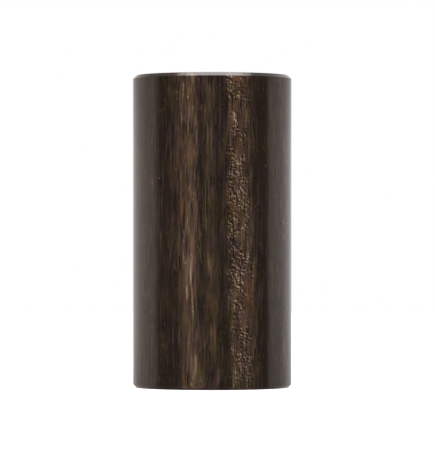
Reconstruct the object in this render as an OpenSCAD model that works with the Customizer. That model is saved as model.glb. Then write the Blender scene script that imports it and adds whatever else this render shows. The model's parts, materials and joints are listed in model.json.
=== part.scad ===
// Dip pen holder: a turned, dark-stained wooden body with a lift-out brass cup.
// A drilled wooden guide drops into the cup's stepped mouth and keeps the pens apart.
// A steel ballast disc is screwed up into the base behind a felt pad.
// Frame: the origin is the centre of the pad's underside, +Z is up, and the front is -Y.

/* [Body] */
// Outside diameter of the wooden body
body_d = 50; // [50:1:64]
// Height of the whole holder, standing on its pad
holder_h = 98.4; // [80:0.1:140]
// Flat chamfer on the body's top edge
top_chamfer = 1.1; // [0.6:0.1:1.8]
// Flat chamfer on the body's bottom edge
base_chamfer = 0.9; // [0.6:0.1:1.6]
// Small chamfer on the inner edge of the mouth
mouth_chamfer = 0.5; // [0.2:0.1:0.8]
// Thickness of the wood left between the cup's bore and the ballast recess
web_t = 6; // [6:0.5:10]

/* [Cup] */
// Outside diameter of the cup's wide mouth
mouth_d = 41; // [41:0.5:42]
// Outside diameter of the cup below its step
tube_d = 38; // [37.5:0.25:38.5]
// Thickness of the drawn brass
cup_wall = 0.8; // [0.6:0.1:1]
// Depth of the cup's rim below the top of the wood
rim_drop = 0.6; // [0.2:0.1:1]
// Outside radius of the cup's bottom corner
cup_corner = 2.2; // [1.5:0.1:4]

/* [Pen guide] */
// Number of pen holes round the guide
socket_count = 5; // [2:1:5]
// Diameter of each pen hole
socket_d = 10.5; // [7:0.5:10.5]
// Diameter of the circle through the centres of the pen holes
socket_circle_d = 24; // [23:0.25:24.5]
// Thickness of the guide
guide_t = 6; // [5:0.5:8]
// Depth of the guide's top face below the top of the wood
guide_drop = 4.5; // [4.5:0.25:8]
// Chamfer on the guide's rim and on both ends of each pen hole
guide_chamfer = 0.5; // [0.2:0.1:0.8]

/* [Pull knob] */
// Diameter of the knob's head
knob_d = 9; // [7:0.5:10]
// Thickness of the knob's fully rounded head
knob_head_t = 1.6; // [1.2:0.1:1.8]
// Height of the knob above the guide
knob_h = 3.6; // [3.2:0.1:3.8]

/* [Base] */
// Thickness of the felt pad under the base
pad_t = 1.5; // [1.2:0.1:2]
// Height that the pad stands proud of the wood
pad_proud = 0.1; // [0.1:0.1:0.8]
// Diameter of the pad
pad_d = 44; // [43:0.5:44.5]
// Diameter of the ballast disc
ballast_d = 40; // [36:0.5:41]
// Thickness of the ballast disc
ballast_t = 10; // [8:0.5:12]
// Thickness of the felt disc under the cup
seat_felt_t = 1; // [0.5:0.25:1.5]
// Thickness of the felt cushion that the pens stand on
cushion_t = 2; // [1:0.25:3]

/* [Hidden] */
$fn = 96;

eps = 0.01;
gap = 0.2;                  // radial clearance round everything that lifts out
glue_gap = 0.2;             // radial clearance round what is glued or screwed in
thread_gap = 0.05;          // radial clearance between a plain shank and its hole

// Heights, from the surface that the holder stands on
pad_top = pad_t;
ballast_top = pad_top + ballast_t;
web_top = ballast_top + web_t;
cup_bottom = web_top + seat_felt_t;
cup_floor = cup_bottom + cup_wall;
cup_rim = holder_h - rim_drop;
guide_top = holder_h - guide_drop;
step_top = guide_top - guide_t;
step_under = step_top - cup_wall;

// Radii
body_r = body_d / 2;
mouth_r = mouth_d / 2;
tube_r = tube_d / 2;
guide_r = mouth_r - cup_wall - gap;

// Ballast screws: countersunk wood screws, driven up through counterbored holes
screw_count = 3;
screw_circle_d = 25;
screw_r = 1.45;
screw_head_r = 2.9;
screw_l = 12;
screw_tip_l = 1.6;
screw_sink = 3;             // depth of each head below the ballast's underside
pilot_spare = 0.3;          // length that each pilot hole runs past its screw's tip
seat_gap = 0.1;             // radial gap between a countersunk head and its seat
slot_w = 0.8;
slot_depth = 0.7;

// Knob screw: a cap screw whose head is sunk in the guide's underside
knob_screw_r = 1.5;
knob_screw_head_r = 2.75;
knob_screw_head_t = 1.6;
knob_screw_sink = 2;
knob_screw_bite = 2.2;      // length of thread in the knob
hex_across_corners = 2.3;
hex_depth = 1;

knob_foot_r = 3.5;
knob_foot_t = 0.8;
knob_waist_r = 2.5;

wood_colour = [0.17, 0.13, 0.10];
guide_colour = [0.14, 0.11, 0.09];
brass_colour = [0.78, 0.62, 0.34];
steel_colour = [0.62, 0.63, 0.65];
felt_colour = [0.12, 0.12, 0.12];
cushion_colour = [0.26, 0.27, 0.25];

// Copies its children at equal steps round the axis, the first one at the front
module around(count, circle_d) {
    for (i = [0 : count - 1])
        rotate(i * 360 / count - 90) translate([circle_d / 2, 0, 0]) children();
}

// A disc with the same chamfer on both of its edges
module chamfered_disc(r, t, chamfer) {
    rotate_extrude() polygon([
        [0, 0], [r - chamfer, 0], [r, chamfer],
        [r, t - chamfer], [r - chamfer, t], [0, t]
    ]);
}

// A hole of radius r through a plate of thickness t, chamfered at both ends
module chamfered_hole(r, t, chamfer) {
    translate([0, 0, -eps]) cylinder(r = r, h = t + 2 * eps);
    for (end = [0, 1])
        translate([0, 0, end * t]) mirror([0, 0, end]) translate([0, 0, -eps])
            cylinder(r1 = r + chamfer + eps, r2 = r, h = chamfer + eps);
}

// Half section of a vessel: straight sides and a rounded bottom corner
module vessel_half(r, bottom, top, corner) {
    translate([0, bottom]) square([r - corner, top - bottom]);
    translate([0, bottom + corner]) square([r, top - bottom - corner]);
    translate([r - corner, bottom + corner]) circle(corner);
}

// Turned wooden body: stepped bore for the cup, recesses for the ballast and the pad
module body() {
    bore_r = tube_r + gap;
    mouth_bore_r = mouth_r + gap;
    pad_recess_r = pad_d / 2 + glue_gap;
    ballast_recess_r = ballast_d / 2 + glue_gap;
    pilot_top = pad_top + screw_sink + screw_l + pilot_spare;
    color(wood_colour) difference() {
        rotate_extrude() polygon([
            // outside, from the underside up
            [pad_recess_r, pad_proud],
            [body_r - base_chamfer, pad_proud],
            [body_r, pad_proud + base_chamfer],
            [body_r, holder_h - top_chamfer],
            [body_r - top_chamfer, holder_h],
            // stepped bore, from the mouth down
            [mouth_bore_r + mouth_chamfer, holder_h],
            [mouth_bore_r, holder_h - mouth_chamfer],
            [mouth_bore_r, step_under],
            [bore_r, step_under],
            [bore_r, web_top],
            [0, web_top],
            // recesses in the base
            [0, ballast_top],
            [ballast_recess_r, ballast_top],
            [ballast_recess_r, pad_top],
            [pad_recess_r, pad_top]
        ]);
        around(screw_count, screw_circle_d) translate([0, 0, ballast_top - eps])
            cylinder(r = screw_r + thread_gap, h = pilot_top - ballast_top + eps);
    }
}

// Felt disc between the wooden web and the cup
module cup_seat_felt() {
    color(felt_colour) translate([0, 0, web_top])
        cylinder(r = tube_r - cup_corner, h = seat_felt_t);
}

// Steel disc that keeps the holder from tipping, with a sunk seat for each screw
module ballast() {
    bore_r = screw_r + seat_gap;
    head_r = screw_head_r + seat_gap;
    color(steel_colour) translate([0, 0, pad_top]) difference() {
        chamfered_disc(ballast_d / 2, ballast_t, 0.6);
        around(screw_count, screw_circle_d) {
            translate([0, 0, -eps]) cylinder(r = head_r, h = screw_sink + eps);
            translate([0, 0, screw_sink - eps])
                cylinder(r1 = head_r + eps, r2 = bore_r, h = head_r - bore_r + eps);
            cylinder(r = bore_r, h = ballast_t + eps);
        }
    }
}

// One countersunk wood screw, head down, with its head's flat face at z = 0
module wood_screw() {
    head_t = screw_head_r - screw_r;
    difference() {
        rotate_extrude() polygon([
            [0, 0], [screw_head_r, 0], [screw_r, head_t],
            [screw_r, screw_l - screw_tip_l], [0.3, screw_l], [0, screw_l]
        ]);
        translate([-screw_head_r - eps, -slot_w / 2, -eps])
            cube([2 * (screw_head_r + eps), slot_w, slot_depth + eps]);
    }
}

// The screws that hold the ballast
module ballast_screws() {
    color(steel_colour) around(screw_count, screw_circle_d)
        translate([0, 0, pad_top + screw_sink]) wood_screw();
}

// Felt pad that covers the ballast and stands just proud of the wood
module base_pad() {
    color(felt_colour) cylinder(d = pad_d, h = pad_t);
}

// Drawn brass cup: its step hangs on the body's ledge and carries the guide
module cup() {
    lip_z = cup_rim - cup_wall / 2;
    color(brass_colour) rotate_extrude() {
        difference() {
            union() {
                vessel_half(tube_r, cup_bottom, lip_z, cup_corner);
                translate([0, step_under]) square([mouth_r, lip_z - step_under]);
            }
            vessel_half(tube_r - cup_wall, cup_floor, lip_z + 1, cup_corner - cup_wall);
            translate([0, step_top]) square([mouth_r - cup_wall, lip_z + 1 - step_top]);
        }
        translate([mouth_r - cup_wall / 2, lip_z]) circle(cup_wall / 2);
    }
}

// Felt disc in the bottom of the cup that the ends of the pens stand on
module tip_cushion() {
    color(cushion_colour) translate([0, 0, cup_floor])
        cylinder(r = tube_r - cup_corner, h = cushion_t);
}

// Wooden disc with a chamfered hole for each pen, resting on the cup's step
module pen_guide() {
    color(guide_colour) translate([0, 0, step_top]) difference() {
        chamfered_disc(guide_r, guide_t, guide_chamfer);
        around(socket_count, socket_circle_d)
            chamfered_hole(socket_d / 2, guide_t, guide_chamfer);
        translate([0, 0, -eps])
            cylinder(r = knob_screw_r + thread_gap, h = guide_t + 2 * eps);
        translate([0, 0, -eps])
            cylinder(r = knob_screw_head_r + seat_gap, h = knob_screw_sink + eps);
    }
}

// Turned brass knob that lifts the guide, low enough to stay below the cup's rim
module pull_knob() {
    head_z = knob_h - knob_head_t / 2;
    color(brass_colour) translate([0, 0, guide_top]) difference() {
        rotate_extrude() {
            square([knob_foot_r, knob_foot_t]);
            square([knob_waist_r, head_z]);
            translate([0, knob_h - knob_head_t])
                square([knob_d / 2 - knob_head_t / 2, knob_head_t]);
            translate([knob_d / 2 - knob_head_t / 2, head_z]) circle(knob_head_t / 2);
        }
        translate([0, 0, -eps])
            cylinder(r = knob_screw_r + thread_gap, h = knob_screw_bite + 0.2 + eps);
    }
}

// Socket screw that holds the knob from under the guide
module knob_screw() {
    head_z = step_top + knob_screw_sink - knob_screw_head_t;
    shank_l = guide_t - knob_screw_sink + knob_screw_bite;
    color(steel_colour) translate([0, 0, head_z]) difference() {
        union() {
            cylinder(r = knob_screw_head_r, h = knob_screw_head_t);
            cylinder(r = knob_screw_r, h = knob_screw_head_t + shank_l);
        }
        translate([0, 0, -eps])
            cylinder(d = hex_across_corners, h = hex_depth + eps, $fn = 6);
    }
}

body();
cup_seat_felt();
ballast();
ballast_screws();
base_pad();
cup();
tip_cushion();
pen_guide();
pull_knob();
knob_screw();
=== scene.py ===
"""A turned, dark-stained wooden holder for dip pens, with a brass cup, a drilled wooden guide and felt.

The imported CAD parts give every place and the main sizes. The turned pieces are spun again here with eased
edges, the felt is given its nap, and the metal that stays out of sight keeps its CAD mesh.
"""
import json
import math

import bmesh
import bpy
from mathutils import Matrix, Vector, geometry, noise


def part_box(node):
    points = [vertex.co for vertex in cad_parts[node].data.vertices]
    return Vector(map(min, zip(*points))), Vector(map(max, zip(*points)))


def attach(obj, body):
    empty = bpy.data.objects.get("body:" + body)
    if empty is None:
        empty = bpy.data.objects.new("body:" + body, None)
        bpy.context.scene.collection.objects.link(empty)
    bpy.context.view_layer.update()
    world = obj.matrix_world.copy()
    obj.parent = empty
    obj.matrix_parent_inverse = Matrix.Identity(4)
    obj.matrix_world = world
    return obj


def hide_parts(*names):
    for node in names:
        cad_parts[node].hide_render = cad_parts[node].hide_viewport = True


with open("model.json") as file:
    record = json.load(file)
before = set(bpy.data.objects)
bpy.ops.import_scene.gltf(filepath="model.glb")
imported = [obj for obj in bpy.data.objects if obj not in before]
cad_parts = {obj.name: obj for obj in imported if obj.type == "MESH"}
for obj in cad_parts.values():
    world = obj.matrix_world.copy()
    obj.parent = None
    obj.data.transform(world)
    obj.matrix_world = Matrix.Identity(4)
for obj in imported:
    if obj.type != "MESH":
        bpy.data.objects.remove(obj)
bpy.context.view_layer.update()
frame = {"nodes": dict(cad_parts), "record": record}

MM = 0.001
SEGMENTS = 192              # facets round the large turned pieces
FELT_SEGMENTS = 160         # facets round a felt disc
KNOB_SEGMENTS = 96          # facets round the knob
HOLE_SEGMENTS = 64          # facets round a pen hole
PILOT_SEGMENTS = 32         # facets round a screw's pilot hole
FLOOR_SEGMENTS = 96
GUARD = 0.06 * MM           # flat margin beside each eased edge, which keeps the shading crisp

# ---------------------------------------------------------------- sizes, from the frame

body_low, body_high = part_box("body")
cup_low, cup_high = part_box("cup")
guide_low, guide_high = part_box("pen_guide")
knob_low, knob_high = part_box("pull_knob")
_, ballast_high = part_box("ballast")
pad_low, pad_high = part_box("base_pad")
cushion_low, cushion_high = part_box("tip_cushion")
seat_low, seat_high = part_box("cup_seat_felt")
_, screw_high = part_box("knob_screw")
_, ballast_screw_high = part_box("ballast_screws")
sockets = [m for m in frame["record"]["mounts"] if m["kind"] == "bore"]

body_r = body_high.x
rim_z = body_high.z
mouth_r = cup_high.x
guide_r = guide_high.x
knob_r = knob_high.x
socket_r = sockets[0]["dims"]["r_mm"] * MM

# Details of the design that a node's box can't give
top_chamfer = 1.1 * MM
base_chamfer = 0.9 * MM
mouth_chamfer = 0.5 * MM
guide_chamfer = 0.5 * MM
tube_r = 19 * MM
cup_wall = 0.8 * MM
cup_corner = 2.2 * MM       # the bend from its floor to its wall, on the outside
lift_gap = 0.2 * MM         # round the cup, so that it lifts out
glue_gap = 0.2 * MM         # round the ballast and the pad
pilot_r = 1.5 * MM
pilot_ring_r = 12.5 * MM
pilot_count = 3
pilot_play = 0.3 * MM       # past the tip of each ballast screw
knob_hole_play = 0.2 * MM   # past the tip of the knob's screw
knob_head_t = 1.6 * MM
knob_foot_r = 3.5 * MM
knob_foot_t = 0.8 * MM
knob_waist_r = 2.5 * MM
knob_hole_r = 1.55 * MM
screw_seat_r = 2.85 * MM
screw_seat_depth = 2 * MM


# ---------------------------------------------------------------- mesh tools

def eased(outline, radius, steps=4):
    """The outline, a path of (r, z) points, with every corner between its ends rounded."""
    points = [Vector(p) for p in outline]
    path = [points[0]]
    for before, corner, after in zip(points, points[1:], points[2:]):
        back, ahead = (before - corner).normalized(), (after - corner).normalized()
        half = back.angle(ahead) / 2
        reach = radius / math.tan(half)
        centre = corner + (back + ahead).normalized() * radius / math.sin(half)
        spoke = corner + back * reach - centre
        sweep = math.copysign(math.pi - 2 * half, back.x * ahead.y - back.y * ahead.x)
        path.append(corner + back * (reach + GUARD))
        for step in range(steps + 1):
            turn = -sweep * step / steps
            path.append(centre + Vector((
                spoke.x * math.cos(turn) - spoke.y * math.sin(turn),
                spoke.x * math.sin(turn) + spoke.y * math.cos(turn))))
        path.append(corner + ahead * (reach + GUARD))
    return path + [points[-1]]


def arc(centre, radius, start, end, steps):
    """Points on an arc in the (r, z) plane, with its angles in degrees."""
    angles = [math.radians(start + (end - start) * i / steps) for i in range(steps + 1)]
    return [Vector((centre[0] + radius * math.cos(a), centre[1] + radius * math.sin(a))) for a in angles]


def ring(r, segments, centre=(0, 0)):
    """Points evenly round a circle."""
    angles = [2 * math.pi * i / segments for i in range(segments)]
    return [Vector((centre[0] + r * math.cos(a), centre[1] + r * math.sin(a))) for a in angles]


def spin(mesh, path, segments=SEGMENTS, centre=(0, 0)):
    """Adds the surface that the (r, z) path sweeps round a vertical axis."""
    rings = []
    for r, z in path:
        circle = ring(r, segments, centre) if r > 1e-7 else [Vector(centre)]
        rings.append([mesh.verts.new((p.x, p.y, z)) for p in circle])
    for lower, upper in zip(rings, rings[1:]):
        for i in range(segments):
            j = (i + 1) % segments
            corners = [lower[i % len(lower)], lower[j % len(lower)],
                       upper[j % len(upper)], upper[i % len(upper)]]
            mesh.faces.new(list(dict.fromkeys(corners)))


def fill(mesh, z, outer, holes):
    """Adds a flat face at height z, inside the outer circle and outside the holes."""
    points, edges = [], []
    for circle in [outer, *holes]:
        first = len(points)
        points += circle
        edges += [(first + i, first + (i + 1) % len(circle)) for i in range(len(circle))]
    triangles_inside = 1
    corners, _, faces, *_ = geometry.delaunay_2d_cdt(points, edges, [], triangles_inside, 1e-9)
    verts = [mesh.verts.new((p.x, p.y, z)) for p in corners]
    gaps = []
    for hole in holes:
        centre = sum(hole, Vector((0, 0))) / len(hole)
        gaps.append((centre, ((hole[0] + hole[1]) / 2 - centre).length))
    for face in faces:
        middle = sum((corners[i] for i in face), Vector((0, 0))) / len(face)
        if all((middle - centre).length > reach for centre, reach in gaps):
            mesh.faces.new([verts[i] for i in face])


def piece_from(mesh, name):
    """Makes the mesh one closed, smooth-shaded object."""
    bmesh.ops.remove_doubles(mesh, verts=mesh.verts, dist=1e-6)
    bmesh.ops.recalc_face_normals(mesh, faces=mesh.faces)
    for face in mesh.faces:
        face.smooth = True
    data = bpy.data.meshes.new(name)
    mesh.to_mesh(data)
    mesh.free()
    piece = bpy.data.objects.new(name, data)
    bpy.context.scene.collection.objects.link(piece)
    return piece


def stands_for(piece, node, body, material):
    """Puts the piece in a CAD node's place."""
    piece.data.materials.append(material)
    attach(piece, body)
    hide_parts(node)


# ---------------------------------------------------------------- material tools

class Graph:
    """A node tree, with short calls for the nodes used here."""

    def __init__(self, tree):
        self.tree = tree
        tree.nodes.clear()

    def node(self, kind, inputs=(), **settings):
        """Adds a node. Each input is a number, a colour, a vector or another node's socket."""
        node = self.tree.nodes.new(kind)
        for name, value in settings.items():
            setattr(node, name, value)
        for name, value in dict(inputs).items():
            if isinstance(value, bpy.types.NodeSocket):
                self.tree.links.new(value, node.inputs[name])
            else:
                node.inputs[name].default_value = value
        return node

    def math(self, operation, *values):
        """One sum on numbers or sockets."""
        return self.node("ShaderNodeMath", dict(enumerate(values)), operation=operation).outputs[0]

    def scaled(self, vector, scale):
        """The vector, with x, y and z each multiplied by its scale."""
        inputs = {0: vector, 1: scale}
        return self.node("ShaderNodeVectorMath", inputs, operation="MULTIPLY").outputs[0]

    def noise(self, vector, detail=2.0, roughness=0.5, distortion=0.0):
        """Smooth noise from 0 to 1, with features about one unit across."""
        inputs = {"Vector": vector, "Scale": 1.0, "Detail": detail, "Roughness": roughness,
                  "Distortion": distortion}
        return self.node("ShaderNodeTexNoise", inputs).outputs["Fac"]

    def ramp(self, value, low, high, to_low=0.0, to_high=1.0):
        """A smooth step of the value, from low to high."""
        inputs = {"Value": value, "From Min": low, "From Max": high, "To Min": to_low, "To Max": to_high}
        return self.node("ShaderNodeMapRange", inputs, interpolation_type="SMOOTHSTEP").outputs[0]

    def gradient(self, value, stops):
        """A colour ramp through (position, colour) stops."""
        node = self.node("ShaderNodeValToRGB", {"Fac": value})
        elements = node.color_ramp.elements
        while len(elements) < len(stops):
            elements.new(0.5)
        for element, (position, colour) in zip(elements, stops):
            element.position = position
            element.color = (*colour, 1)
        return node.outputs["Color"]

    def mix(self, factor, first, second, blend="MIX"):
        """The first colour, turning into the second (or blending with it) as the factor rises to 1."""
        inputs = {0: factor, 6: first, 7: second}
        return self.node("ShaderNodeMix", inputs, data_type="RGBA", blend_type=blend).outputs[2]

    def bump(self, height, distance, strength=1.0):
        """A normal that follows the height. distance is how far a height of 1 stands up."""
        inputs = {"Height": height, "Distance": distance, "Strength": strength}
        return self.node("ShaderNodeBump", inputs).outputs["Normal"]

    def surface(self, **inputs):
        """Ends the graph with the standard surface shader."""
        shader = self.node("ShaderNodeBsdfPrincipled", inputs)
        self.node("ShaderNodeOutputMaterial", {"Surface": shader.outputs[0]})


def new_material(name):
    """A new material, and the graph that its nodes go in."""
    material = bpy.data.materials.new(name)
    material.use_nodes = True
    return material, Graph(material.node_tree)


def grey(value):
    """A neutral colour."""
    return (value, value, value)


# ---------------------------------------------------------------- materials

# Growth bands across the wood: distance in millimetres, and lightness from 0 to 1.
WOOD_SPAN = (-26, 52)
WOOD_BANDS = [
    (-26, 0.20), (-19, 0.25), (-16, 0.14), (-12.5, 0.08), (-10.4, 0.24), (-8.4, 0.48), (-6.6, 0.60),
    (-5.2, 0.56), (-3.6, 0.12), (-1.2, 0.36), (0.6, 0.32), (2.4, 0.08), (4.9, 0.14), (6.5, 0.40),
    (9.4, 0.43), (12.6, 0.34), (14.6, 0.14), (17.2, 0.02), (20, 0.08), (24, 0.22), (28, 0.36), (31, 0.12),
    (35, 0.46), (38, 0.10), (42, 0.58), (46, 0.12), (52, 0.35),
]
# The colour of each tone. Bands reach a tone of 1 with their streaks, and the brightest painted glints on
# the flecks more.
BRIGHTEST = 1.6
WOOD_TONES = [
    (0.0, (0.013, 0.0088, 0.0070)),
    (0.3, (0.029, 0.0193, 0.0130)),
    (0.6, (0.060, 0.0375, 0.0245)),
    (1.0, (0.128, 0.0860, 0.0545)),
    (1.6, (0.330, 0.2600, 0.1850)),
]
# What a colour is multiplied by where the wood leans to another hue
REDDER = (1.30, 0.92, 0.80, 1)
BLUER = (1.02, 0.96, 1.18, 1)
GREENER = (0.94, 1.02, 0.78, 1)


def wood(name, tilt, shift, polish):
    """Dark-stained hardwood under a clear polish.

    tilt and shift set how the grain lies in the blank, and polish is the roughness of its coat. Places are
    in millimetres, with the grain along z, and the scales of noises are in features per millimetre.
    """
    material, g = new_material(name)
    place = g.node("ShaderNodeTexCoord").outputs["Object"]
    place = g.node("ShaderNodeMapping", {
        "Vector": place, "Location": shift, "Rotation": tilt, "Scale": (1 / MM,) * 3}).outputs[0]
    x, y, z = g.node("ShaderNodeSeparateXYZ", {0: place}).outputs

    def around_zero(*scale, detail=3.0, rough=0.6):
        """A noise that is as often below zero as above it."""
        return g.math("SUBTRACT", g.noise(g.scaled(place, scale), detail, rough), 0.5)

    def marks(low, high, *scale):
        """Separate marks, 0 to 1: the tops of a noise whose height runs from low to high."""
        return g.ramp(g.noise(g.scaled(place, scale), 1.0), low, high)

    # Distance across the growth bands, which slant and curve towards the back, lean to the right as they go
    # down, and wander
    slant, curve, lean, offset = 0.25, 0.004, 0.02, -1.0
    depth = g.math("ADD", y, body_r / MM)
    across = g.math("MULTIPLY_ADD", depth, slant, x)
    across = g.math("MULTIPLY_ADD", g.math("MULTIPLY", depth, depth), curve, across)
    across = g.math("ADD", across, g.math("MULTIPLY_ADD", z, lean, offset))
    across = g.math("MULTIPLY_ADD", around_zero(0.10, 0.10, 0.028, detail=2.0), 3.5, across)
    across = g.math("MULTIPLY_ADD", around_zero(0.50, 0.50, 0.07, detail=2.0), 3.0, across)
    first, last = WOOD_SPAN
    share = g.node("ShaderNodeMapRange", {"Value": across, "From Min": first, "From Max": last}).outputs[0]
    bands = g.gradient(share, [((p - first) / (last - first), grey(tone)) for p, tone in WOOD_BANDS])

    # Patches, streaks and fibres run along the grain, each finer than the last, clearest in light wood
    strength = g.math("MULTIPLY_ADD", bands, 1.4, 0.4)
    fibres = around_zero(2.8, 2.8, 0.30, rough=0.65)
    grain = g.math("MULTIPLY", around_zero(0.40, 0.40, 0.12, detail=2.0), 0.7)
    grain = g.math("MULTIPLY_ADD", around_zero(1.0, 1.0, 0.085, detail=2.0), 1.1, grain)
    grain = g.math("MULTIPLY_ADD", fibres, 0.35, grain)
    grain = g.math("MULTIPLY_ADD", marks(0.60, 0.66, 1.8, 1.8, 0.09), 0.32, grain)
    grain = g.math("MULTIPLY_ADD", marks(0.60, 0.66, 1.6, 1.6, 0.13), -0.30, grain)
    tone = g.math("MULTIPLY_ADD", grain, strength, bands)
    tone = g.math("MULTIPLY_ADD", marks(0.69, 0.75, 2.0, 2.0, 0.80), 0.50, tone)

    # Painted glints and painted shade: curly flecks, in patches of the broad light band right of the middle
    # of the front,
    #  shaded as if embossed and lit from the upper left: a painted highlight where a noise falls towards the
    #  place beside, and a painted shadow where it rises.
    fade_in, fade_out = (4.5, 6.0), (14.5, 11.0)    # the zone's edges, in millimetres across the bands
    glint_zone = g.math("MULTIPLY", g.ramp(across, *fade_in), g.ramp(across, *fade_out))
    glint_zone = g.math("MULTIPLY", glint_zone, g.ramp(around_zero(0.32, 0.32, 0.20), -0.11, 0.05, 0.14, 1.0))
    here = g.scaled(place, (1.00, 1.00, 0.80))
    beside = g.node("ShaderNodeVectorMath", {0: here, 1: (0.28, 0.14, 0.28)}).outputs[0]
    painted_relief = g.math("SUBTRACT", g.noise(here, 1.0, 0.5, 1.4), g.noise(beside, 1.0, 0.5, 1.4))
    # The flecks' painted highlights, then their painted shade
    tone = g.math("MULTIPLY_ADD", g.math("MULTIPLY", g.ramp(painted_relief, 0.05, 0.20), glint_zone), 0.78, tone)
    tone = g.math("MULTIPLY_ADD", g.math("MULTIPLY", g.ramp(painted_relief, -0.03, -0.16), glint_zone), -0.40, tone)

    # Open pores: short dark lines along the grain, and dots on the end grain
    pores = marks(0.60, 0.68, 2.6, 2.6, 0.30)
    tone = g.math("MULTIPLY_ADD", pores, -0.22, tone)

    # Each tone has its colour, and patches of the wood lean to red, blue or green
    colour = g.gradient(g.math("DIVIDE", tone, BRIGHTEST), [(p / BRIGHTEST, c) for p, c in WOOD_TONES])
    warmth = around_zero(0.30, 0.30, 0.12, detail=2.0)
    coolness = around_zero(0.42, 0.42, 0.17, detail=2.0)
    middling = g.math("MULTIPLY", g.ramp(tone, 0.1, 0.6), g.ramp(tone, 1.2, 0.7))
    redness = g.math("MULTIPLY", g.ramp(warmth, 0.0, 0.20), middling)
    colour = g.mix(redness, colour, REDDER, "MULTIPLY")
    colour = g.mix(g.ramp(coolness, 0.0, 0.15), colour, BLUER, "MULTIPLY")
    colour = g.mix(g.ramp(coolness, 0.0, -0.15), colour, GREENER, "MULTIPLY")

    height = g.math("SUBTRACT", g.math("MULTIPLY", fibres, 0.35), pores)
    g.surface(**{
        "Base Color": colour,
        "Roughness": g.ramp(fibres, -0.3, 0.3, 0.42, 0.58),
        "Specular IOR Level": 0.0,
        "Normal": g.bump(height, 0.02 * MM, 0.5),
        "Coat Weight": 1.0,
        "Coat Roughness": polish,
        "Coat IOR": 1.5,
        "Coat Normal": g.bump(height, 0.004 * MM, 0.3),
    })
    return material


def turned_brass(name, polish):
    """Brass with fine turning lines round it and a little tarnish. polish is its roughness."""
    material, g = new_material(name)
    place = g.scaled(g.node("ShaderNodeTexCoord").outputs["Object"], (1 / MM,) * 3)
    x, y, z = g.node("ShaderNodeSeparateXYZ", {0: place}).outputs
    radius = g.math("SQRT", g.math("ADD", g.math("MULTIPLY", x, x), g.math("MULTIPLY", y, y)))
    reach = g.math("ADD", radius, z)
    turning = g.node("ShaderNodeCombineXYZ", {0: x, 1: y, 2: reach}).outputs[0]
    lines = g.noise(g.scaled(turning, (0.06, 0.06, 5.0)), 3.0, 0.7)
    patches = g.noise(g.scaled(place, (0.12, 0.12, 0.08)), 4.0, 0.6)
    tarnish = g.ramp(patches, 0.42, 0.72, 0.0, 0.40)
    colour = g.mix(tarnish, (0.74, 0.53, 0.25, 1), (0.42, 0.27, 0.12, 1))
    rough = g.math("MULTIPLY_ADD", lines, 0.12, g.math("MULTIPLY_ADD", tarnish, 0.20, polish))
    g.surface(**{
        "Base Color": colour,
        "Metallic": 1.0,
        "Roughness": rough,
        "Normal": g.bump(lines, 0.003 * MM, 0.4),
    })
    return material


def machined_steel(name):
    """Plain machined steel with faint tool marks."""
    material, g = new_material(name)
    place = g.scaled(g.node("ShaderNodeTexCoord").outputs["Object"], (1 / MM,) * 3)
    marks = g.noise(g.scaled(place, (1.2, 1.2, 6.0)), 3.0, 0.7)
    stains = g.noise(g.scaled(place, (0.2, 0.2, 0.2)), 3.0)
    g.surface(**{
        "Base Color": g.mix(stains, (0.46, 0.46, 0.47, 1), (0.58, 0.57, 0.56, 1)),
        "Metallic": 1.0,
        "Roughness": g.ramp(marks, 0.2, 0.8, 0.28, 0.46),
        "Normal": g.bump(marks, 0.01 * MM, 0.4),
    })
    return material


def wool_felt(name, dark, light):
    """Pressed wool: matted fibres in every direction, with a soft sheen."""
    material, g = new_material(name)
    place = g.scaled(g.node("ShaderNodeTexCoord").outputs["Object"], (1 / MM,) * 3)
    one_way = g.noise(g.scaled(place, (6.0, 1.2, 3.0)), 3.0, 0.7, 0.8)
    other_way = g.noise(g.scaled(place, (1.4, 6.5, 3.0)), 3.0, 0.7, 0.8)
    fibres = g.math("MAXIMUM", one_way, other_way)
    clouds = g.noise(g.scaled(place, (0.5, 0.5, 0.5)), 3.0)
    colour = g.mix(g.ramp(fibres, 0.45, 0.75), dark, light)
    colour = g.mix(g.ramp(clouds, 0.3, 0.7, 0.0, 0.35), colour, dark)
    g.surface(**{
        "Base Color": colour,
        "Roughness": 0.95,
        "Specular IOR Level": 0.1,
        "Sheen Weight": 0.35,
        "Sheen Roughness": 0.6,
        "Normal": g.bump(fibres, 0.12 * MM, 0.8),
    })
    return material


body_wood = wood("body_wood", (0, 0, 0), (0, 0, 0), 0.10)
guide_wood = wood("guide_wood", (0, math.radians(90), math.radians(14)), (31, 7, 12), 0.30)
cup_brass = turned_brass("cup_brass", 0.14)
knob_brass = turned_brass("knob_brass", 0.20)
steel = machined_steel("steel")
black_felt = wool_felt("black_felt", (0.006, 0.006, 0.006, 1), (0.030, 0.029, 0.028, 1))
grey_felt = wool_felt("grey_felt", (0.030, 0.032, 0.028, 1), (0.115, 0.118, 0.106, 1))


# ---------------------------------------------------------------- turned pieces

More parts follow.
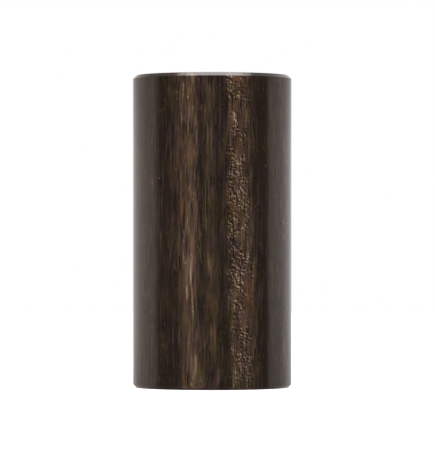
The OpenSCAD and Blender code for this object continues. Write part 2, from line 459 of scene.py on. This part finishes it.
def make_body():
    """The wooden body, from the underside of its web round the outside to the floor of its bore."""
    ballast_recess_r = ballast_high.x + glue_gap
    pad_recess_r = pad_high.x + glue_gap
    mouth_bore_r = mouth_r + lift_gap
    bore_r = tube_r + lift_gap
    ledge_z = guide_low.z - cup_wall
    web_low, web_high = ballast_high.z, seat_low.z
    body_ease = 0.16 * MM
    web_margin = 1 * MM
    outline = [
        (ballast_recess_r - web_margin, web_low),
        (ballast_recess_r, web_low),
        (ballast_recess_r, pad_high.z),
        (pad_recess_r, pad_high.z),
        (pad_recess_r, body_low.z),
        (body_r - base_chamfer, body_low.z),
        (body_r, body_low.z + base_chamfer),
        (body_r, rim_z - top_chamfer),
        (body_r - top_chamfer, rim_z),
        (mouth_bore_r + mouth_chamfer, rim_z),
        (mouth_bore_r, rim_z - mouth_chamfer),
        (mouth_bore_r, ledge_z),
        (bore_r, ledge_z),
        (bore_r, web_high),
        (0, web_high),
    ]
    mesh = bmesh.new()
    spin(mesh, eased(outline, body_ease))
    holes = []
    pilot_top = ballast_screw_high.z + pilot_play
    for i in range(pilot_count):
        angle = math.radians(360 * i / pilot_count - 90)
        centre = (pilot_ring_r * math.cos(angle), pilot_ring_r * math.sin(angle))
        spin(mesh, [(pilot_r, web_low), (pilot_r, pilot_top), (0, pilot_top)], PILOT_SEGMENTS, centre)
        holes.append(ring(pilot_r, PILOT_SEGMENTS, centre))
    fill(mesh, web_low, ring(outline[0][0], SEGMENTS), holes)
    piece = piece_from(mesh, "turned_body")
    stands_for(piece, "body", "holder", body_wood)


def make_cup():
    """The drawn brass cup, from the middle of its floor up the outside, over the lip and down inside."""
    step_top, step_under = guide_low.z, guide_low.z - cup_wall
    lip_r = cup_wall / 2
    lip_z = cup_high.z - lip_r
    inner_corner = cup_corner - cup_wall
    outer_bend, inner_bend = 0.35 * MM, 0.2 * MM
    run = 2 * MM                # of wall beyond each bend of the step
    outside = [(0, cup_low.z)]
    outside += arc((tube_r - cup_corner, cup_low.z + cup_corner), cup_corner, -90, 0, 10)
    step_out = eased([(tube_r, step_under - run), (tube_r, step_under),
                      (mouth_r, step_under), (mouth_r, step_under + run)], outer_bend)
    lip = arc((mouth_r - lip_r, lip_z), lip_r, 0, 180, 10)
    step_in = eased([(mouth_r - cup_wall, step_top + run), (mouth_r - cup_wall, step_top),
                     (tube_r - cup_wall, step_top), (tube_r - cup_wall, step_top - run)], inner_bend)
    inside = arc((tube_r - cup_corner, cushion_low.z + inner_corner), inner_corner, 0, -90, 8)
    inside += [(0, cushion_low.z)]
    mesh = bmesh.new()
    spin(mesh, outside + step_out + lip + step_in + inside)
    piece = piece_from(mesh, "drawn_cup")
    stands_for(piece, "cup", "liner", cup_brass)


def make_guide():
    """The wooden guide: a disc with a chamfered hole for each pen, and the knob's screw hole."""
    low, high = guide_low.z, guide_high.z
    c = guide_chamfer
    margin = 0.25 * MM
    ease = 0.10 * MM
    rim = eased([(guide_r - c - margin, high), (guide_r - c, high), (guide_r, high - c),
                 (guide_r, low + c), (guide_r - c, low), (guide_r - c - margin, low)], ease)
    pen_hole = eased([(socket_r + c + margin, high), (socket_r + c, high), (socket_r, high - c),
                      (socket_r, low + c), (socket_r + c, low), (socket_r + c + margin, low)], ease)
    screw_hole = [(knob_hole_r, high), (knob_hole_r, low + screw_seat_depth),
                  (screw_seat_r, low + screw_seat_depth), (screw_seat_r, low)]
    mesh = bmesh.new()
    spin(mesh, rim)
    spin(mesh, screw_hole, HOLE_SEGMENTS)
    top_holes = [ring(knob_hole_r, HOLE_SEGMENTS)]
    bottom_holes = [ring(screw_seat_r, HOLE_SEGMENTS)]
    for socket in sockets:
        centre = socket["pos_m"][:2]
        spin(mesh, pen_hole, HOLE_SEGMENTS, centre)
        top_holes.append(ring(pen_hole[0].x, HOLE_SEGMENTS, centre))
        bottom_holes.append(ring(pen_hole[-1].x, HOLE_SEGMENTS, centre))
    fill(mesh, high, ring(rim[0].x, SEGMENTS), top_holes)
    fill(mesh, low, ring(rim[-1].x, SEGMENTS), bottom_holes)
    piece = piece_from(mesh, "drilled_guide")
    stands_for(piece, "pen_guide", "guide", guide_wood)


def make_knob():
    """The brass knob: a foot, a waist and a rounded head with a ring turned into its top."""
    low, high = knob_low.z, knob_high.z
    head_r = knob_head_t / 2
    flat = 0.2 * MM             # under the head, inside its rounded edge
    groove_r, groove_w, groove_depth = 2.9 * MM, 0.5 * MM, 0.18 * MM
    stem_ease, groove_ease = 0.12 * MM, 0.06 * MM
    hole_top = screw_high.z + knob_hole_play
    stem = eased([(0, hole_top), (knob_hole_r, hole_top), (knob_hole_r, low), (knob_foot_r, low),
                  (knob_foot_r, low + knob_foot_t), (knob_waist_r, low + knob_foot_t),
                  (knob_waist_r, high - knob_head_t), (knob_r - head_r - flat, high - knob_head_t)],
                 stem_ease)
    head = arc((knob_r - head_r, high - head_r), head_r, -90, 90, 16)
    face = eased([(groove_r + groove_w, high), (groove_r + groove_w / 2, high),
                  (groove_r, high - groove_depth), (groove_r - groove_w / 2, high), (0, high)], groove_ease)
    mesh = bmesh.new()
    spin(mesh, stem + head + face, KNOB_SEGMENTS)
    piece = piece_from(mesh, "turned_knob")
    stands_for(piece, "pull_knob", "guide", knob_brass)


# ---------------------------------------------------------------- felt

def felt_disc(name, low, high, edge, dents=()):
    """A pressed felt disc with a soft edge and an uneven nap, which never leaves the box low to high.

    edge is the radius of its edge, and dents are the places where pens have pressed into its top.
    """
    nap_size, nap_depth = 0.45 * MM, 0.07 * MM
    dent_r, dent_depth = 2.2 * MM, 0.25 * MM
    underside = 0.3             # the share of the nap that the pressed underside keeps
    r = high.x
    rings = 56
    flat_r = r - edge
    top = [(flat_r * i / rings, high.z) for i in range(rings)]
    side = arc((flat_r, high.z - edge), edge, 90, 0, 5) + arc((flat_r, low.z + edge), edge, 0, -90, 5)
    bottom = [(flat_r * i / rings, low.z) for i in reversed(range(rings))]
    mesh = bmesh.new()
    spin(mesh, top + side + bottom, FELT_SEGMENTS)
    middle = (low.z + high.z) / 2
    for vert in mesh.verts:
        nap = abs(noise.noise(vert.co / nap_size)) * nap_depth
        vert.co.x -= vert.co.x / r * nap
        vert.co.y -= vert.co.y / r * nap
        if vert.co.z > middle:
            away = [(vert.co.xy - Vector(dent)).length / dent_r for dent in dents]
            vert.co.z -= nap + sum(dent_depth * math.exp(-distance ** 2) for distance in away)
        else:
            vert.co.z += nap * underside
    return piece_from(mesh, name)


def make_felt():
    """The pad under the base, the disc under the cup and the cushion that the pens stand on."""
    pad = felt_disc("base_felt", pad_low, pad_high, 0.3 * MM)
    stands_for(pad, "base_pad", "holder", black_felt)
    seat = felt_disc("seat_felt", seat_low, seat_high, 0.25 * MM)
    stands_for(seat, "cup_seat_felt", "holder", black_felt)
    pen_places = [s["pos_m"][:2] for s in sockets]
    cushion = felt_disc("cushion_felt", cushion_low, cushion_high, 0.5 * MM, pen_places)
    stands_for(cushion, "tip_cushion", "liner", grey_felt)


def dress_cad_metal():
    """The metal that keeps its CAD mesh gets its finish."""
    for name in ("ballast", "ballast_screws", "knob_screw"):
        node = frame["nodes"][name]
        node.data.materials.clear()
        node.data.materials.append(steel)


# ---------------------------------------------------------------- studio

def area_light(name, place, aim, size, radiance):
    """A square soft light, with its power worked out from the radiance that its face shows."""
    data = bpy.data.lights.new(name, "AREA")
    data.shape = "SQUARE"
    data.size = size
    data.energy = radiance * math.pi * size * size
    light = bpy.data.objects.new(name, data)
    light.location = place
    light.rotation_euler = (Vector(aim) - Vector(place)).to_track_quat("-Z", "Y").to_euler()
    light.visible_camera = False
    bpy.context.scene.collection.objects.link(light)


def make_world():
    """The surroundings: plain white to the camera, and to everything else a dim room with a pale card.

    The card stands behind the holder and reaches round both its sides, so that its polish shows a pale strip
    along each side.
    """
    world = bpy.data.worlds.new("studio")
    world.use_nodes = True
    bpy.context.scene.world = world
    g = Graph(world.node_tree)
    direction = g.node("ShaderNodeTexCoord").outputs["Generated"]
    x, y, z = g.node("ShaderNodeSeparateXYZ", {0: direction}).outputs
    slope = g.math("MULTIPLY_ADD", z, 0.5, 0.5)     # from 0, straight down, to 1, straight up

    # The card's colour, on the left and on the right, from its ends at the sides to its middle at the back
    left = g.gradient(y, [(0.0, (0.74, 0.62, 0.55)), (0.5, (0.80, 0.69, 0.65)), (1.0, (0.92, 0.88, 0.87))])
    right = g.gradient(y, [(0.0, (0.78, 0.66, 0.60)), (0.5, (0.66, 0.62, 0.62)), (1.0, (1.00, 1.00, 1.02))])
    backdrop = g.mix(g.ramp(x, -0.2, 0.4), left, right)

    # It is brightest just above the holder's own height, and changes further up and further down
    above = g.ramp(z, 0.15, 0.65, 1.0, g.ramp(x, -0.3, 0.4, 0.5, 1.4))
    below = g.gradient(slope, [
        (0.12, grey(0.10)), (0.22, grey(0.50)), (0.40, grey(0.55)), (0.46, grey(1.0))])
    level = g.math("ABSOLUTE", g.math("SUBTRACT", z, 0.004))
    card = g.math("ADD", g.ramp(level, 0.012, 0.055, 1.05, 0.70), g.ramp(level, 0.06, 0.12, 0.0, 0.30))
    shade = g.math("MULTIPLY", g.math("MINIMUM", above, below), card)
    back = g.mix(shade, (0, 0, 0, 1), backdrop)

    # In front the room is dark, with a glow from low down that is stronger on the left
    dark, glow = (0.010, 0.009, 0.008), (0.38, 0.36, 0.34)
    front = g.gradient(slope, [(0.12, dark), (0.20, glow), (0.40, glow), (0.46, dark)])
    front = g.mix(g.ramp(x, -0.6, 0.1, 0.0, 0.65), front, (*dark, 1))

    room = g.mix(g.ramp(y, g.ramp(x, -0.2, 0.2, -0.17, -0.10), 0.08), front, back)
    seen = g.node("ShaderNodeLightPath").outputs["Is Camera Ray"]
    colour = g.mix(seen, room, (1, 1, 1, 1))
    background = g.node("ShaderNodeBackground", {"Color": colour})
    g.node("ShaderNodeOutputWorld", {"Surface": background.outputs[0]})


def make_floor():
    """A plain pale floor. It is kept out of reflections, which show the world's colours in its place."""
    floor_r = 1.2
    mesh = bmesh.new()
    spin(mesh, [(0, 0), (floor_r / 3, 0), (floor_r, 0)], FLOOR_SEGMENTS)
    floor = piece_from(mesh, "floor")
    material, g = new_material("floor_paint")
    mottle = g.noise(g.scaled(g.node("ShaderNodeTexCoord").outputs["Object"], (30, 30, 30)), 2.0)
    shade = g.mix(mottle, (0.86, 0.86, 0.86, 1), (0.88, 0.88, 0.88, 1))
    diffuse = g.node("ShaderNodeBsdfDiffuse", {"Color": shade})
    glow = g.node("ShaderNodeEmission", {"Color": shade, "Strength": 0.8})
    lit = g.node("ShaderNodeAddShader", {0: diffuse.outputs[0], 1: glow.outputs[0]})
    g.node("ShaderNodeOutputMaterial", {"Surface": lit.outputs[0]})
    floor.data.materials.append(material)
    floor.visible_glossy = False


def make_studio():
    """The surroundings, the floor and four soft lights: two overhead and one at each side in front."""
    make_world()
    make_floor()
    middle = (0, 0, rim_z / 2)
    area_light("overhead", (0.02, 0, 1.05), middle, 0.66, 2.9)
    area_light("overhead_wide", (0.02, 0, 1.06), middle, 0.88, 2.7)
    area_light("front_left", (-0.9, -1.1, 1.15), middle, 0.8, 7.0)
    area_light("front_right", (1.0, -1.0, 1.15), middle, 0.8, 6.0)


def make_camera():
    """A little below the middle of the holder, far enough away that its sides look parallel."""
    sideways = 0.00166
    distance = 1.13
    height, aim_height = 0.0455, 0.0484
    data = bpy.data.cameras.new("camera")
    data.lens = 275.5
    data.clip_end = 50
    camera = bpy.data.objects.new("camera", data)
    camera.location = (sideways, -distance, height)
    aim = Vector((sideways, 0, aim_height))
    camera.rotation_euler = (aim - camera.location).to_track_quat("-Z", "Y").to_euler()
    bpy.context.scene.collection.objects.link(camera)
    bpy.context.scene.camera = camera


# ---------------------------------------------------------------- the scene

bpy.context.scene.view_settings.view_transform = "Standard"
make_camera()
make_body()
make_cup()
make_guide()
make_knob()
make_felt()
dress_cad_metal()
make_studio()
